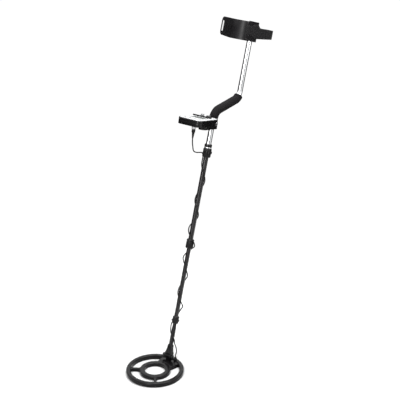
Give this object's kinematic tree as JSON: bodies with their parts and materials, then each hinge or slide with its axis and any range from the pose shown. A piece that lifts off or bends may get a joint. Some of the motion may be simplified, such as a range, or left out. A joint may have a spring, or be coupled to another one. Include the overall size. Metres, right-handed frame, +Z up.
{
  "type": "metal detector",
  "caption": "Hand-held metal detector with an S-shaped rod, foam grip, arm cup with strap, control box, telescoping stem wound with cable, and a tilting open-ring search coil",
  "frame": {"origin": "middle of the foam grip, where the hand holds it", "axes": "+Z up, -Y forward away from the user, X across; the coil lies level below"},
  "size_m": [0.215, 0.7574, 1.2355],
  "materials": {
    "chrome_tube": "polished",
    "foam": "matt, fine cells",
    "black_plastic": "satin, fine texture",
    "cup_plastic": "satin",
    "webbing": "woven nylon",
    "steel": "plain",
    "black_steel": "black oxide",
    "face": "satin silver",
    "window": "clear",
    "board": "solder mask",
    "components": "plain",
    "cell": "printed sleeve",
    "stem_tube": "satin black",
    "cable": "matt",
    "grey_plastic": "satin",
    "rubber_washer": "matt",
    "copper": "enamelled wire",
    "chrome_ring": "knurled"
  },
  "bodies": {
    "frame": {"s_rod": "chrome_tube", "foam_grip": "foam", "rod_cap": "black_plastic", "arm_cup": "cup_plastic", "cup_saddle": "black_plastic", "cup_bolts": "black_steel", "cup_nuts": "black_plastic", "strap": "webbing", "housing_top": "black_plastic", "housing_base": "black_plastic", "face_panel": "face", "face_rail": "black_plastic", "display_window": "window", "display_module": "components", "circuit_board": "board", "board_parts": "components", "pots": "steel", "speaker": "components", "batteries": "cell", "headphone_jack": "black_plastic", "jack_nut": "steel", "coil_socket": "steel", "housing_screws": "steel", "clamp_bolt": "black_steel", "plug": "black_plastic", "strain_relief": "cable", "cable_upper": "cable", "lock1_body": "black_plastic", "lock1_band": "steel", "lock1_collet": "rubber_washer", "stem_a": "stem_tube", "lock2_body": "black_plastic", "lock2_collet": "rubber_washer"},
    "upper_lock_nut": {"lock1_nut": "black_plastic"},
    "middle_lock_nut": {"lock2_nut": "black_plastic"},
    "power_knob": {"knob_power": "grey_plastic"},
    "sensitivity_knob": {"knob_sens": "black_plastic"},
    "button_1": {"button_1": "grey_plastic"},
    "button_2": {"button_2": "grey_plastic"},
    "button_3": {"button_3": "grey_plastic"},
    "button_4": {"button_4": "grey_plastic"},
    "battery_door": {"battery_door": "black_plastic"},
    "coupling_ring": {"coupling_ring": "chrome_ring"},
    "middle_stem": {"stem_b": "stem_tube", "lock3_body": "black_plastic", "lock3_collet": "rubber_washer", "cable_middle": "cable"},
    "lower_lock_nut": {"lock3_nut": "black_plastic"},
    "lower_stem": {"stem_c": "black_plastic", "cable_lower": "cable"},
    "coil": {"coil_shell": "cup_plastic", "coil_cover": "cup_plastic", "winding_outer": "copper", "winding_inner": "copper", "tilt_bolt": "black_plastic", "washers": "rubber_washer", "cable_gland": "black_plastic"},
    "wing_nut": {"wing_nut": "black_plastic"}
  },
  "joints": [
    {"name": "upper_lock_turn", "type": "hinge", "parent": "frame", "child": "upper_lock_nut", "pos_m": [0, -0.12468, -0.15242], "axis": [0, 0.309, 0.9511], "range_deg": [0, 90]},
    {"name": "middle_lock_turn", "type": "hinge", "parent": "frame", "child": "middle_lock_nut", "pos_m": [0, -0.23222, -0.48339], "axis": [0, 0.309, 0.9511], "range_deg": [0, 90]},
    {"name": "power_knob_turn", "type": "hinge", "parent": "frame", "child": "power_knob", "pos_m": [-0.018, -0.1278, -0.0094], "axis": [0, 0.2079, 0.9781], "range_deg": [0, 270]},
    {"name": "sensitivity_knob_turn", "type": "hinge", "parent": "frame", "child": "sensitivity_knob", "pos_m": [0.01, -0.1278, -0.0094], "axis": [0, 0.2079, 0.9781], "range_deg": [0, 270]},
    {"name": "button_1_press", "type": "slide", "parent": "frame", "child": "button_1", "axis": [0, 0.2079, 0.9781], "range_m": [-0.0009, 0], "stiffness_N_per_m": 600, "springref_m": 0.0005},
    {"name": "button_2_press", "type": "slide", "parent": "frame", "child": "button_2", "axis": [0, 0.2079, 0.9781], "range_m": [-0.0009, 0], "stiffness_N_per_m": 600, "springref_m": 0.0005},
    {"name": "button_3_press", "type": "slide", "parent": "frame", "child": "button_3", "axis": [0, 0.2079, 0.9781], "range_m": [-0.0009, 0], "stiffness_N_per_m": 600, "springref_m": 0.0005},
    {"name": "button_4_press", "type": "slide", "parent": "frame", "child": "button_4", "axis": [0, 0.2079, 0.9781], "range_m": [-0.0009, 0], "stiffness_N_per_m": 600, "springref_m": 0.0005},
    {"name": "battery_door_slide", "type": "slide", "parent": "frame", "child": "battery_door", "axis": [-1, 0, 0], "range_m": [0, 0.05]},
    {"name": "coupling_ring_turn", "type": "hinge", "parent": "frame", "child": "coupling_ring", "pos_m": [0.018, -0.22856, -0.02172], "axis": [0, 0.2079, 0.9781], "range_deg": [-180, 180]},
    {"name": "middle_stem_slide", "type": "slide", "parent": "frame", "child": "middle_stem", "axis": [0, 0.309, 0.9511], "range_m": [-0.04, 0.12], "deforming": ["cable_middle"]},
    {"name": "lower_lock_turn", "type": "hinge", "parent": "middle_stem", "child": "lower_lock_nut", "pos_m": [0, -0.32307, -0.763], "axis": [0, 0.309, 0.9511], "range_deg": [0, 90]},
    {"name": "lower_stem_slide", "type": "slide", "parent": "middle_stem", "child": "lower_stem", "axis": [0, 0.309, 0.9511], "range_m": [-0.03, 0.014], "deforming": ["cable_lower"]},
    {"name": "coil_tilt", "type": "hinge", "parent": "lower_stem", "child": "coil", "pos_m": [0, -0.36572, -0.89425], "axis": [1, 0, 0], "range_deg": [-60, 30]},
    {"name": "wing_nut_turn", "type": "hinge", "parent": "coil", "child": "wing_nut", "pos_m": [0, -0.36572, -0.89425], "axis": [1, 0, 0], "range_deg": [0, 180]}
  ]
}
